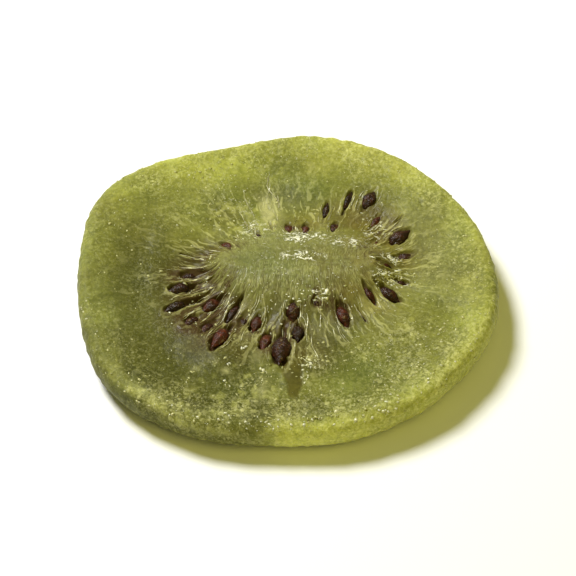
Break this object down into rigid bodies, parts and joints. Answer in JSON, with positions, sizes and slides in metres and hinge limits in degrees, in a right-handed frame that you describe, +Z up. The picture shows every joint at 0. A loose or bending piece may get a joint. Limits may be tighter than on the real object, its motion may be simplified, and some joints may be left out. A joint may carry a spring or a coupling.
{
  "type": "dried kiwi slice",
  "caption": "Oval cross slice of dried green kiwi fruit, with a domed pale core, a sunken ring of seeds and fibres, and a rounded, slightly curled rim.",
  "frame": {"origin": "middle of the slice's box in X and Y, on the plane that its underside rests on", "axes": "+Z up out of the cut face that shows, +X along the slice's long way, -Y the side nearest the camera in the picture"},
  "size_m": [0.0454, 0.042, 0.0054],
  "materials": {
    "kiwi_flesh": "moist, sugary, translucent dried fruit"
  },
  "bodies": {
    "root": {"kiwi_slice": "kiwi_flesh"}
  },
  "joints": []
}
